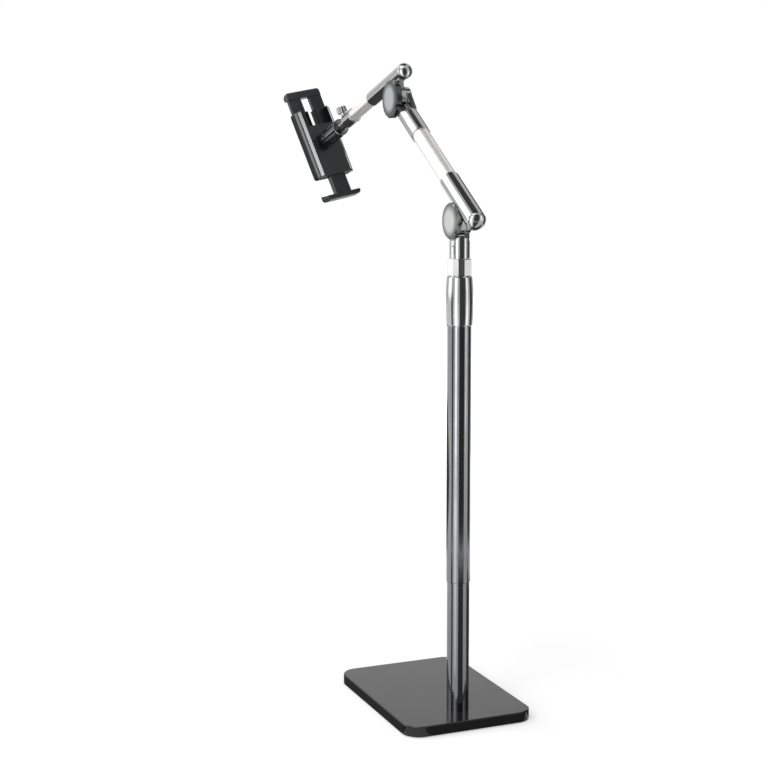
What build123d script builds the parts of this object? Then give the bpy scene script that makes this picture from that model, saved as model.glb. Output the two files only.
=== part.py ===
from build123d import *
import os
from math import atan, cos, pi, radians, sin, tan

os.makedirs("parts", exist_ok=True)

# Clearances shared by all pieces
turning_fit = 0.06
seated_fit = 0.04
rub_gap = 0.05
pass_gap = 0.35
overrun = 40.0
quarter_turn = 90.0

# Base
base_width = 185.0
base_depth = 260.0
base_top = 15.5
base_corner = 24.0
base_edge = 1.2
base_wall = 3.0
base_skin = 2.6
foot_proud = 1.5
foot_sunk = 0.8
foot_radius = 12.0
foot_inset = 24.0
bottom_thick = 2.5
pole_inset = 49.1
screw_radius = 2.0
screw_head_radius = 4.0
screw_head_deep = 1.9
screw_long = 7.0
screw_inset = 44.0

# Fixed pole
socket_flange_radius = 20.0
socket_flange_thick = 3.0
socket_plug_long = 30.0
anchor_radius = 5.0
anchor_head_radius = 8.5
anchor_head_thick = 4.0
anchor_long = 26.0
anchor_washer_radius = 10.5
anchor_washer_thick = 1.2
lower_pole_radius = 15.0
lower_pole_wall = 2.0
lower_pole_top = 192.0
outer_tube_radius = 16.0
outer_tube_wall = 2.0
outer_tube_visible_top = 535.0
outer_tube_hidden = 25.0
coupler_below = 32.0
coupler_above = 30.0
coupler_wall = 4.0

# Height lock
collar_radius = 18.0
collar_end_radius = 17.2
collar_lip_radius = 16.6
collar_top = 600.0
collar_chamfer = 1.4
collar_lip_thick = 6.0
collet_skirt_long = 36.0
collet_flange_thick = 3.0
collet_finger_long = 24.0
collet_slot_width = 2.0
collet_slots = 6

# Sliding pole
inner_pole_radius = 13.0
inner_pole_wall = 1.2
inner_pole_bottom = 232.0
inner_pole_top = 606.0
slide_bush_long = 20.0
plug_below = 26.0
plug_flange_thick = 2.0
spigot_radius = 7.0
spigot_top = 641.0

# Swivel ring and head
ring_bottom = 600.3
ring_top = 622.6
ring_apothem = 15.0
ring_facets = 12
ring_chamfer = 0.8
hub_radius = 10.0
hub_bottom = 609.0
stem_bottom = 623.0
stem_radius = 13.35
shoulder_top = 652.5
shoulder_round = 1.5
neck_bottom = 646.0
swivel_bush_wall = 1.6
slot_angle = 32.0
slot_height = 634.0
slot_width = 1.6
slot_long = 12.0
slot_cross_width = 5.5
slot_cross_high = 2.0
slot_deep = 1.6

# Hinges
hinge_a_y = 85.4
hinge_a_z = 671.5
drum_half = 9.0
ear_inner = 0.8
ear_a_radius = 18.0
ear_b_radius = 17.5
ear_chamfer = 1.2
bolt_radius = 4.0
bolt_head_radius = 7.0
bolt_head_thick = 3.2
bolt_head_round = 1.2
knob_gap = 0.6
knob_washer_radius = 9.0
knob_a_radius = 23.75
knob_a_thick = 7.4
knob_b_radius = 26.5
knob_b_thick = 9.4
knob_chamfer = 1.5
knob_cap_thick = 1.0
knob_cap_crown = 0.7
knob_cap_share = 0.84
knob_bore_floor = 2.0

# Lower arm
lower_arm_rise = 33.1
lower_arm_offset = 24.4
sleeve_radius = 13.5
sleeve_chamfer = 0.8
lower_tube_radius = 11.75
lower_tube_wall = 1.5
lower_cap_start = -36.0
lower_cap_rise = 9.0
lower_sleeve_end = 58.0
upper_sleeve_start = 171.0
upper_sleeve_end = 232.0
arm_tube_grip = 36.0
hinge_b_along = 255.9
hinge_b_offset = 6.3

# Upper arm
upper_arm_drop = 15.01
upper_arm_offset = 34.2
slim_sleeve_radius = 11.25
upper_tube_radius = 9.5
upper_tube_wall = 1.3
upper_cap_start = -20.0
upper_cap_rise = 7.5
neck_web_half = 11.5
near_sleeve_end = 100.6
far_sleeve_start = 181.3
far_sleeve_end = 209.0
far_grip = 22.0
neck_radius = 7.6
neck_end = 228.0
neck_ring_long = 3.0
neck_ring_radius = 8.6

# Thumb screw
thumb_along = 217.7
thumb_roll = 16.0
thumb_thread_radius = 2.5
thumb_stem_radius = 4.0
thumb_stem_top = 15.0
thumb_knob_radius = 8.0
thumb_knob_top = 24.6
thumb_chamfer = 1.2
thumb_dent_radius = 1.0
thumb_dents = 12

# Wrist and ball joint
spindle_radius = 5.0
spindle_inner_end = 200.0
collar_piece_radius = 8.0
cup_radius = 9.8
cup_start = 239.0
cup_rim = 303.6
ball_along = 306.0
ball_radius = 8.25
ball_fit = 0.1
nut_start = 241.0
nut_end = 309.0
nut_radius = 13.0
nut_mouth_radius = 10.6
nut_mouth_long = 5.0
flute_radius = 3.4
flute_proud = 2.2
flutes = 10
flute_start_inset = 5.0
flute_end_inset = 9.0
stud_radius = 4.0
stud_flange_radius = 6.5
stud_flange_thick = 1.6

# Tablet holder, measured from the middle of its front pad
holder_ball_across = -8.4
holder_ball_up = -2.0
holder_ball_out = 36.0
holder_half_length = 56.3
shell_half_width = 35.2
shell_front = 0.8
shell_floor = 1.6
shell_back = 12.0
shell_wall = 2.2
shell_corner = 4.0
cover_back = 21.0
cover_wall = 2.0
cover_side_rise = 0.8
cover_step_across = 31.4
cover_step_out = 15.6
face_half_width = 26.6
notch_long = 27.8
notch_half_width = 25.5
front_pad_half_width = 25.0
front_pad_low = -43.0
front_pad_high = 25.5
mount_disc_radius = 13.5
mount_disc_thick = 3.0
mid_plate_front = 8.3
mid_plate_thick = 1.1
trim_thick = 0.7
trim_end_gap = 2.0
bright_trim_share = (0.22, 0.95)
grey_trim_share = (0.08, 0.8)
holder_screw_radius = 1.5
holder_screw_head_radius = 2.8
holder_screw_head_thick = 1.0
holder_screw_long = 13.0
holder_post_radius = 2.6
low_post_across = 26.5
low_post_inset = 6.3
low_post_top = 17.0
top_post_up = 20.0

# Jaws, at rest on the tablet's two long edges
jaw_half_spacing = 89.25
jaw_half_width = 33.4
jaw_corner = 5.0
jaw_round = 2.4
hook_half_width = 29.0
hook_front = -8.6
hook_thick = 2.3
hook_lip = 7.0
hook_wall = 3.0
hook_round = 1.4
jaw_pad_thick = 1.2
jaw_pad_half_width = 26.0
pad_groove = 0.4
pad_grooves = 9
upper_bar_inset = 9.25
upper_bar_front = 0.8
upper_bar_back = 9.5
lower_bar_inset = 2.25
lower_bar_wall = 4.75
lower_bar_front = 2.3
lower_bar_back = 17.3
rail_inner = 8.3
rail_outer = 32.6
rail_front = 2.75
rail_back = 8.0
curb_inner = 6.3
curb_back = 11.0
curb_low_gap = 2.5
rail_groove_inset = 5.0
rail_groove_width = 9.0
rail_groove_deep = 0.7
tongue_half_width = 15.6
tongue_front = 9.75
tongue_back = 17.0
tongue_chamfer = 1.0
jaw_stop_gap = 1.7
jaw_open = 12.0

# Pinion and racks that keep the jaws even
gear_module = 1.0
pinion_teeth = 12
pressure_angle = 20.0
pinion_addendum = 0.9
rack_addendum = 0.65
gear_dedendum = 1.15
tooth_backlash = 0.12
flank_steps = 3
rack_margin = 2.5
pinion_up = -8.0
pinion_axle_radius = 1.5
pinion_hub_thick = 3.0
spring_bore = 1.8
spring_radius = 3.3
spring_clear = 0.2


def disc(plane, outer, inner=0):
    # A flat ring on a plane
    with BuildSketch(plane) as ring:
        Circle(outer)
        if inner > 0:
            Circle(inner, mode=Mode.SUBTRACT)
    return ring.sketch


def rod(axis, start, end, outer, inner=0, mode=Mode.ADD):
    # A straight bar or tube along an axis plane's normal
    extrude(disc(axis.offset(start), outer, inner), amount=end - start, mode=mode)


def spin(axis, points, mode=Mode.ADD):
    # A turned shape: (radius, height) points spun about the axis plane's normal
    with BuildSketch(Plane(origin=axis.origin, x_dir=axis.x_dir, z_dir=-axis.y_dir)) as profile:
        with BuildLine():
            Polyline(*points, close=True)
        make_face()
    revolve(profile.sketch, axis=Axis(axis.origin, axis.z_dir), mode=mode)


def dome(axis, start, radius, rise, mode=Mode.ADD):
    # A rounded end that swells out of a bar of this radius
    with BuildSketch(Plane(origin=axis.origin, x_dir=axis.x_dir, z_dir=-axis.y_dir)) as profile:
        with BuildLine():
            Line((0, start), (radius, start))
            EllipticalCenterArc((0, start), radius, rise, start_angle=0, arc_size=quarter_turn)
            Line((0, start + rise), (0, start))
        make_face()
    revolve(profile.sketch, axis=Axis(axis.origin, axis.z_dir), mode=mode)


def block(plane, across, up, out, mode=Mode.ADD):
    # A block between (low, high) pairs in a plane's own frame
    with BuildSketch(plane.offset(out[0])) as outline:
        with Locations(((across[0] + across[1]) / 2, (up[0] + up[1]) / 2)):
            Rectangle(across[1] - across[0], up[1] - up[0])
    extrude(outline.sketch, amount=out[1] - out[0], mode=mode)


def ear(pin, radius, side):
    # One cheek of a hinge drum, chamfered on its outer face
    spin(pin, [(0, side * ear_inner), (radius, side * ear_inner), (radius, side * (drum_half - ear_chamfer)),
               (radius - ear_chamfer, side * drum_half), (0, side * drum_half)])


def spot(plane, across, up):
    # The same plane with its origin moved within itself
    return Plane(origin=plane.from_local_coords((across, up, 0)), x_dir=plane.x_dir, z_dir=plane.z_dir)


def save(piece, name):
    piece.part.label = name
    export_step(piece.part, "parts/" + name + ".step")


# Axes and planes
pole_y = base_depth / 2 - pole_inset
pole = Plane(origin=(0, pole_y, 0))
lower_along = Vector(0, -cos(radians(lower_arm_rise)), sin(radians(lower_arm_rise)))
lower_up = Vector(0, sin(radians(lower_arm_rise)), cos(radians(lower_arm_rise)))
upper_along = Vector(0, -cos(radians(upper_arm_drop)), -sin(radians(upper_arm_drop)))
upper_up = Vector(0, -sin(radians(upper_arm_drop)), cos(radians(upper_arm_drop)))
hinge_a = Vector(0, hinge_a_y, hinge_a_z)
lower_foot = hinge_a + lower_up * lower_arm_offset
hinge_b = lower_foot + lower_along * hinge_b_along + lower_up * hinge_b_offset
upper_foot = hinge_b + upper_up * upper_arm_offset
lower_axis = Plane(origin=lower_foot, x_dir=(1, 0, 0), z_dir=lower_along)
lower_back_axis = Plane(origin=lower_foot, x_dir=(1, 0, 0), z_dir=-lower_along)
upper_axis = Plane(origin=upper_foot, x_dir=(1, 0, 0), z_dir=upper_along)
upper_back_axis = Plane(origin=upper_foot, x_dir=(1, 0, 0), z_dir=-upper_along)
pin_a = Plane(origin=hinge_a, x_dir=(0, 1, 0), z_dir=(1, 0, 0))
pin_b = Plane(origin=hinge_b, x_dir=(0, 1, 0), z_dir=(1, 0, 0))
lower_side = Plane(origin=hinge_a, x_dir=lower_along, z_dir=(-1, 0, 0))
upper_end_side = Plane(origin=hinge_b, x_dir=lower_along, z_dir=(-1, 0, 0))
upper_side = Plane(origin=hinge_b, x_dir=upper_along, z_dir=(-1, 0, 0))
ball_centre = upper_foot + upper_along * ball_along
holder_across = Vector(-0.942, -0.281, 0.182).normalized()
holder_out = (Vector(-0.205, 0.914, 0.349) - holder_across * holder_across.dot(
    Vector(-0.205, 0.914, 0.349))).normalized()
holder_up = holder_out.cross(holder_across)
holder_middle = (ball_centre - holder_out * holder_ball_out
                 - holder_across * holder_ball_across - holder_up * holder_ball_up)
holder = Plane(origin=holder_middle, x_dir=holder_across, z_dir=holder_out)
stud_axis = Plane(origin=ball_centre, x_dir=holder_across, z_dir=-holder_out)
pinion_axis = Plane(origin=holder.from_local_coords((0, pinion_up, 0)), x_dir=holder_across, z_dir=holder_out)
thumb_out = upper_up * cos(radians(thumb_roll)) + Vector(1, 0, 0) * sin(radians(thumb_roll))
thumb_axis = Plane(origin=upper_foot + upper_along * thumb_along, x_dir=upper_along, z_dir=thumb_out)

# Base cover
cavity_top = base_top - base_skin
cavity_corner = base_corner - base_wall
socket_clear_radius = lower_pole_radius - lower_pole_wall
with BuildPart() as base_cover:
    with BuildSketch(Plane.XY.offset(foot_proud)):
        RectangleRounded(base_width, base_depth, base_corner)
    extrude(amount=base_top - foot_proud)
    chamfer(base_cover.faces().sort_by(Axis.Z)[-1].edges(), base_edge)
    with BuildSketch(Plane.XY.offset(foot_proud)):
        RectangleRounded(base_width - 2 * base_wall, base_depth - 2 * base_wall, cavity_corner)
    extrude(amount=cavity_top - foot_proud, mode=Mode.SUBTRACT)
    rod(pole, foot_proud, base_top, socket_clear_radius, mode=Mode.SUBTRACT)
save(base_cover, "base_cover")

# Bottom plate with a shallow seat for each foot
bottom_top = foot_proud + bottom_thick
inside_width = base_width - 2 * (base_wall + seated_fit)
inside_depth = base_depth - 2 * (base_wall + seated_fit)
foot_places = [(sx * (base_width / 2 - foot_inset), sy * (base_depth / 2 - foot_inset))
               for sx in (-1, 1) for sy in (-1, 1)] + [(0, 0)]
screw_places = [(sx * (base_width / 2 - screw_inset), sy * (base_depth / 2 - screw_inset))
                for sx in (-1, 1) for sy in (-1, 1)]
with BuildPart() as base_bottom:
    with BuildSketch(Plane.XY.offset(foot_proud)):
        RectangleRounded(inside_width, inside_depth, cavity_corner - seated_fit)
    extrude(amount=bottom_thick)
    with BuildSketch(Plane.XY.offset(foot_proud)):
        with Locations(*foot_places):
            Circle(foot_radius + seated_fit)
    extrude(amount=foot_sunk, mode=Mode.SUBTRACT)
    for place in screw_places:
        screw_axis = Plane(origin=(place[0], place[1], foot_proud))
        spin(screw_axis, [(0, 0), (screw_head_radius + seated_fit, 0),
                          (screw_radius + seated_fit, screw_head_deep),
                          (screw_radius + seated_fit, bottom_thick), (0, bottom_thick)], mode=Mode.SUBTRACT)
    rod(pole, foot_proud, bottom_top, anchor_washer_radius + pass_gap, mode=Mode.SUBTRACT)
save(base_bottom, "base_bottom")

with BuildPart() as rubber_feet:
    with BuildSketch(Plane.XY):
        with Locations(*foot_places):
            Circle(foot_radius)
    extrude(amount=foot_proud + foot_sunk)
    chamfer(rubber_feet.faces().sort_by(Axis.Z)[0:len(foot_places)].edges(), foot_sunk / 2)
save(rubber_feet, "rubber_feet")

# Countersunk screws that hold the bottom to the ballast
with BuildPart() as base_screws:
    for place in screw_places:
        screw_axis = Plane(origin=(place[0], place[1], foot_proud))
        spin(screw_axis, [(0, rub_gap), (screw_head_radius - rub_gap, rub_gap),
                          (screw_radius, screw_head_deep), (screw_radius, screw_long), (0, screw_long)])
save(base_screws, "base_screws")

# Ballast slab
ballast_top = cavity_top
anchor_head_top = bottom_top + anchor_head_thick
with BuildPart() as ballast_plate:
    with BuildSketch(Plane.XY.offset(bottom_top)):
        RectangleRounded(inside_width, inside_depth, cavity_corner - seated_fit)
    extrude(amount=ballast_top - bottom_top)
    with BuildSketch(Plane.XY.offset(bottom_top)):
        with Locations(*screw_places):
            Circle(screw_radius + seated_fit)
    extrude(amount=screw_long, mode=Mode.SUBTRACT)
    rod(pole, ballast_top - socket_flange_thick, ballast_top, socket_flange_radius + seated_fit,
        mode=Mode.SUBTRACT)
    rod(pole, bottom_top, anchor_head_top, anchor_washer_radius + pass_gap, mode=Mode.SUBTRACT)
    rod(pole, bottom_top, ballast_top, anchor_radius + seated_fit, mode=Mode.SUBTRACT)
save(ballast_plate, "ballast_plate")

# Pole socket, its bolt and washer
socket_bottom = ballast_top - socket_flange_thick
socket_plug_radius = lower_pole_radius - lower_pole_wall - seated_fit
with BuildPart() as pole_socket:
    rod(pole, socket_bottom, ballast_top, socket_flange_radius)
    rod(pole, socket_bottom, base_top + socket_plug_long, socket_plug_radius)
    chamfer(pole_socket.faces().sort_by(Axis.Z)[-1].edges(), sleeve_chamfer)
    rod(pole, socket_bottom, socket_bottom + anchor_long, anchor_radius + seated_fit, mode=Mode.SUBTRACT)
save(pole_socket, "pole_socket")

washer_bottom = anchor_head_top - anchor_washer_thick
with BuildPart() as anchor_washer:
    rod(pole, washer_bottom, anchor_head_top, anchor_washer_radius, anchor_radius + seated_fit)
save(anchor_washer, "anchor_washer")

with BuildPart() as anchor_bolt:
    with BuildSketch(pole.offset(washer_bottom - anchor_head_thick)):
        RegularPolygon(anchor_head_radius, 6)
    extrude(amount=anchor_head_thick)
    rod(pole, washer_bottom, socket_bottom + anchor_long - rub_gap, anchor_radius)
save(anchor_bolt, "anchor_bolt")

# Fixed tubes of the pole
with BuildPart() as lower_pole:
    rod(pole, base_top, lower_pole_top, lower_pole_radius, lower_pole_radius - lower_pole_wall)
save(lower_pole, "lower_pole")

outer_tube_bore = outer_tube_radius - outer_tube_wall
outer_tube_top = outer_tube_visible_top + outer_tube_hidden
with BuildPart() as outer_tube:
    rod(pole, lower_pole_top, outer_tube_top, outer_tube_radius, outer_tube_bore)
    chamfer(outer_tube.faces().sort_by(Axis.Z)[0].edges().sort_by(SortBy.RADIUS)[-1], outer_tube_wall / 4)
save(outer_tube, "outer_tube")

with BuildPart() as pole_coupler:
    coupler_bore = socket_plug_radius - coupler_wall
    rod(pole, lower_pole_top - coupler_below, lower_pole_top, socket_plug_radius, coupler_bore)
    rod(pole, lower_pole_top, lower_pole_top + coupler_above, outer_tube_bore - seated_fit, coupler_bore)
save(pole_coupler, "pole_coupler")

# Collet with sprung fingers round the sliding pole
collet_bore = inner_pole_radius + turning_fit
finger_bottom = outer_tube_top + collet_flange_thick
finger_top = finger_bottom + collet_finger_long
with BuildPart() as pole_collet:
    finger_tip = (outer_tube_radius + collet_bore) / 2
    spin(pole, [(collet_bore, outer_tube_top - collet_skirt_long),
                (outer_tube_bore - seated_fit, outer_tube_top - collet_skirt_long),
                (outer_tube_bore - seated_fit, outer_tube_top), (outer_tube_radius, outer_tube_top),
                (outer_tube_radius, finger_bottom), (finger_tip, finger_top), (collet_bore, finger_top)])
    with BuildSketch(pole.offset(finger_bottom)):
        with PolarLocations(0, collet_slots):
            Rectangle(outer_tube_radius * 2, collet_slot_width)
    extrude(amount=collet_finger_long, mode=Mode.SUBTRACT)
save(pole_collet, "pole_collet")

# Twist collar that squeezes the collet
with BuildPart() as height_collar:
    collar_bore = outer_tube_radius + turning_fit
    collar_cone_top = collar_top - collar_lip_thick
    collar_lip_bore = inner_pole_radius + pass_gap
    with BuildSketch(Plane(origin=pole.origin, x_dir=pole.x_dir, z_dir=-pole.y_dir)) as collar_profile:
        with BuildLine():
            collar_low = outer_tube_visible_top + collar_chamfer
            collar_high = collar_top - collar_chamfer
            Line((collar_bore, outer_tube_visible_top),
                 (collar_end_radius - collar_chamfer / 2, outer_tube_visible_top))
            Line((collar_end_radius - collar_chamfer / 2, outer_tube_visible_top),
                 (collar_end_radius, collar_low))
            ThreePointArc((collar_end_radius, collar_low), (collar_radius, (collar_low + collar_high) / 2),
                          (collar_lip_radius, collar_high))
            Line((collar_lip_radius, collar_high), (collar_lip_radius - collar_chamfer, collar_top))
            Line((collar_lip_radius - collar_chamfer, collar_top), (collar_lip_bore, collar_top))
            Line((collar_lip_bore, collar_top), (collar_lip_bore, collar_cone_top))
            Line((collar_lip_bore, collar_cone_top), (collar_lip_bore + turning_fit, collar_cone_top))
            Line((collar_lip_bore + turning_fit, collar_cone_top), (collar_bore + turning_fit, finger_bottom))
            Line((collar_bore + turning_fit, finger_bottom), (collar_bore, finger_bottom))
            Line((collar_bore, finger_bottom), (collar_bore, outer_tube_visible_top))
        make_face()
    revolve(collar_profile.sketch, axis=Axis(pole.origin, pole.z_dir))
    cone_clear = finger_tip + pass_gap
    spin(pole, [(0, finger_bottom), (collar_bore, finger_bottom), (cone_clear, finger_top),
                (cone_clear, collar_cone_top), (0, collar_cone_top)], mode=Mode.SUBTRACT)
save(height_collar, "height_collar")

# Sliding pole, its bush and its plug with the swivel spigot
with BuildPart() as inner_pole:
    rod(pole, inner_pole_bottom, inner_pole_top, inner_pole_radius, inner_pole_radius - inner_pole_wall)
save(inner_pole, "inner_pole")

with BuildPart() as slide_bush:
    rod(pole, inner_pole_bottom, inner_pole_bottom + slide_bush_long, outer_tube_bore - turning_fit,
        inner_pole_radius + seated_fit)
save(slide_bush, "slide_bush")

with BuildPart() as pole_plug:
    plug_radius = inner_pole_radius - inner_pole_wall - seated_fit
    rod(pole, inner_pole_top - plug_below, inner_pole_top, plug_radius)
    rod(pole, inner_pole_top, inner_pole_top + plug_flange_thick, inner_pole_radius)
    rod(pole, inner_pole_top, spigot_top, spigot_radius)
    chamfer(pole_plug.faces().sort_by(Axis.Z)[-1].edges(), sleeve_chamfer)
save(pole_plug, "pole_plug")

# Faceted ring that locks the swivel
with BuildPart() as swivel_ring:
    with BuildSketch(pole.offset(ring_bottom)):
        RegularPolygon(ring_apothem, ring_facets, major_radius=False)
    extrude(amount=ring_top - ring_bottom)
    chamfer(swivel_ring.faces().filter_by(Axis.Z).edges(), ring_chamfer)
    rod(pole, ring_bottom, hub_bottom, inner_pole_radius + pass_gap, mode=Mode.SUBTRACT)
    rod(pole, ring_bottom, ring_top, hub_radius + turning_fit, mode=Mode.SUBTRACT)
save(swivel_ring, "swivel_ring")

# Swivel head: hub, stem, shoulder and the ear at the far side of the lower hinge
bush_radius = spigot_radius + turning_fit + swivel_bush_wall
with BuildPart() as swivel_head:
    rod(pole, hub_bottom, stem_bottom, hub_radius)
    rod(pole, stem_bottom, shoulder_top, stem_radius)
    for side in (-1, 1):
        block(pole, sorted((side * drum_half, side * stem_radius)), (-stem_radius, stem_radius),
              (neck_bottom, shoulder_top), mode=Mode.SUBTRACT)
    fillet(swivel_head.edges().filter_by(GeomType.CIRCLE).group_by(Axis.Z)[-1], shoulder_round)
    with BuildSketch(Plane.YZ.offset(ear_chamfer - drum_half)):
        with Locations((pole_y, (shoulder_top + hinge_a_z) / 2 - shoulder_round)):
            Rectangle(2 * stem_radius, hinge_a_z - shoulder_top + 2 * shoulder_round)
    extrude(amount=drum_half - ear_inner - ear_chamfer)
    ear(pin_a, ear_a_radius, -1)
    rod(pin_a, -overrun, 0, bolt_radius + seated_fit, mode=Mode.SUBTRACT)
    rod(pole, hub_bottom, spigot_top + rub_gap, bush_radius + seated_fit, mode=Mode.SUBTRACT)
    slot_out = Vector(cos(radians(slot_angle)), sin(radians(slot_angle)), 0)
    slot_plane = Plane(origin=(0, pole_y, slot_height), x_dir=Vector(0, 0, 1).cross(slot_out), z_dir=slot_out)
    with BuildSketch(slot_plane.offset(stem_radius - slot_deep)):
        Rectangle(slot_width, slot_long)
        with Locations((0, (slot_long - slot_cross_high) / 2)):
            Rectangle(slot_cross_width, slot_cross_high)
    extrude(amount=overrun / 4, mode=Mode.SUBTRACT)
save(swivel_head, "swivel_head")

with BuildPart() as swivel_bush:
    rod(pole, hub_bottom, spigot_top, bush_radius, spigot_radius + turning_fit)
save(swivel_bush, "swivel_bush")


def make_bolt(pin, knob_thick):
    # Cap head on the far side, shank through both ears into the knob
    with BuildPart() as bolt:
        rod(pin, -drum_half - bolt_head_thick, -drum_half, bolt_head_radius)
        fillet(bolt.faces().sort_by(Axis.X)[0].edges(), bolt_head_round)
        bolt_end = drum_half + knob_gap + knob_thick - knob_cap_thick - knob_bore_floor - pass_gap
        rod(pin, -drum_half, bolt_end, bolt_radius)
    return bolt


def make_friction_washer(pin, radius):
    with BuildPart() as washer:
        rod(pin, -ear_inner + rub_gap, ear_inner, radius, bolt_radius + pass_gap)
    return washer


def make_knob(pin, radius, thick):
    # Round knob with a blind bore and a sunk face
    with BuildPart() as knob:
        low = drum_half + knob_gap
        high = low + thick
        sunk = high - knob_cap_thick
        face_radius = radius * knob_cap_share
        bore = bolt_radius + turning_fit
        spin(pin, [(bore, low), (radius - knob_chamfer, low), (radius, low + knob_chamfer),
                   (radius, high - knob_chamfer), (radius - knob_chamfer, high), (face_radius, high),
                   (face_radius, sunk), (0, sunk), (0, sunk - knob_bore_floor),
                   (bore, sunk - knob_bore_floor)])
    return knob


def make_knob_cap(pin, radius, thick):
    with BuildPart() as cap:
        sunk = drum_half + knob_gap + thick - knob_cap_thick
        cap_radius = radius * knob_cap_share - seated_fit
        rod(pin, sunk, sunk + knob_cap_thick, cap_radius)
        dome(pin, sunk + knob_cap_thick, cap_radius, knob_cap_crown)
    return cap


def make_knob_washer(pin):
    with BuildPart() as washer:
        rod(pin, drum_half + rub_gap, drum_half + knob_gap - rub_gap, knob_washer_radius,
            bolt_radius + turning_fit)
    return washer


save(make_bolt(pin_a, knob_a_thick), "hinge_bolt_a")
save(make_bolt(pin_b, knob_b_thick), "hinge_bolt_b")
save(make_friction_washer(pin_a, ear_a_radius - ear_chamfer), "friction_washer_a")
save(make_friction_washer(pin_b, ear_b_radius - ear_chamfer), "friction_washer_b")
save(make_knob(pin_a, knob_a_radius, knob_a_thick), "knob_a")
save(make_knob(pin_b, knob_b_radius, knob_b_thick), "knob_b")
save(make_knob_cap(pin_a, knob_a_radius, knob_a_thick), "knob_cap_a")
save(make_knob_cap(pin_b, knob_b_radius, knob_b_thick), "knob_cap_b")
save(make_knob_washer(pin_a), "knob_washer_a")
save(make_knob_washer(pin_b), "knob_washer_b")

# Lower arm, fitting at the pole end
grip_start = lower_sleeve_end - arm_tube_grip
with BuildPart() as arm1_lower_fitting:
    rod(lower_axis, lower_cap_start, lower_sleeve_end, sleeve_radius)
    dome(lower_back_axis, -lower_cap_start, sleeve_radius, lower_cap_rise)
    ear(pin_a, ear_a_radius, 1)
    with BuildSketch(lower_side.offset(ear_chamfer - drum_half)):
        with Locations((0, lower_arm_offset / 2)):
            Rectangle(2 * ear_a_radius, lower_arm_offset)
    extrude(amount=drum_half - ear_inner - ear_chamfer)
    rod(pin_a, -overrun, ear_inner, ear_a_radius + pass_gap, mode=Mode.SUBTRACT)
    rod(pin_a, drum_half, overrun, knob_a_radius + pass_gap, mode=Mode.SUBTRACT)
    rod(pin_a, 0, overrun, bolt_radius + turning_fit, mode=Mode.SUBTRACT)
    rod(lower_axis, grip_start, lower_sleeve_end, lower_tube_radius + seated_fit, mode=Mode.SUBTRACT)
save(arm1_lower_fitting, "arm1_lower_fitting")

with BuildPart() as arm1_tube:
    rod(lower_axis, grip_start + rub_gap, upper_sleeve_start + arm_tube_grip - rub_gap, lower_tube_radius,
        lower_tube_radius - lower_tube_wall)
save(arm1_tube, "arm1_tube")

# Lower arm, fitting at the upper hinge
with BuildPart() as arm1_upper_fitting:
    rod(lower_axis, upper_sleeve_start, upper_sleeve_end, sleeve_radius)
    ear(pin_b, ear_b_radius, -1)
    with BuildSketch(upper_end_side.offset(ear_inner)):
        with BuildLine():
            web_start = upper_sleeve_end - hinge_b_along - sleeve_radius
            Polyline((0, ear_b_radius), (web_start, sleeve_radius - hinge_b_offset),
                     (web_start, -sleeve_radius - hinge_b_offset), (0, -ear_b_radius), close=True)
        make_face()
    extrude(amount=drum_half - ear_inner - ear_chamfer)
    rod(pin_b, -ear_inner, overrun, ear_b_radius + pass_gap, mode=Mode.SUBTRACT)
    rod(pin_b, drum_half, overrun, knob_b_radius + pass_gap, mode=Mode.SUBTRACT)
    rod(pin_b, -overrun, 0, bolt_radius + seated_fit, mode=Mode.SUBTRACT)
    rod(lower_axis, upper_sleeve_start, upper_sleeve_start + arm_tube_grip, lower_tube_radius + seated_fit,
        mode=Mode.SUBTRACT)
save(arm1_upper_fitting, "arm1_upper_fitting")

# Upper arm, fitting at the hinge
near_grip_start = near_sleeve_end - arm_tube_grip
with BuildPart() as arm2_near_fitting:
    rod(upper_axis, upper_cap_start, near_sleeve_end, slim_sleeve_radius)
    dome(upper_back_axis, -upper_cap_start, slim_sleeve_radius, upper_cap_rise)
    ear(pin_b, ear_b_radius, 1)
    with BuildSketch(upper_side.offset(ear_chamfer - drum_half)):
        with BuildLine():
            Polyline((-neck_web_half, 0), (neck_web_half, 0), (ear_b_radius, upper_arm_offset),
                     (-ear_b_radius, upper_arm_offset), close=True)
        make_face()
    extrude(amount=drum_half - ear_inner - ear_chamfer)
    rod(pin_b, 0, overrun, bolt_radius + turning_fit, mode=Mode.SUBTRACT)
    rod(upper_axis, near_grip_start, near_sleeve_end, upper_tube_radius + seated_fit, mode=Mode.SUBTRACT)
save(arm2_near_fitting, "arm2_near_fitting")

with BuildPart() as arm2_tube:
    rod(upper_axis, near_grip_start + rub_gap, far_sleeve_start + far_grip - rub_gap, upper_tube_radius,
        upper_tube_radius - upper_tube_wall)
save(arm2_tube, "arm2_tube")

# Upper arm, fitting and neck at the holder end
with BuildPart() as arm2_far_fitting:
    rod(upper_axis, far_sleeve_start, far_sleeve_end, slim_sleeve_radius)
    rod(upper_axis, far_sleeve_end, neck_end, neck_radius)
    rod(upper_axis, neck_end - neck_ring_long, neck_end, neck_ring_radius)
    rod(upper_axis, far_sleeve_start, far_sleeve_start + far_grip, upper_tube_radius + seated_fit,
        mode=Mode.SUBTRACT)
    rod(upper_axis, spindle_inner_end - far_grip, neck_end, spindle_radius + turning_fit, mode=Mode.SUBTRACT)
    rod(thumb_axis, 0, overrun, thumb_thread_radius + turning_fit, mode=Mode.SUBTRACT)
save(arm2_far_fitting, "arm2_far_fitting")

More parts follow.
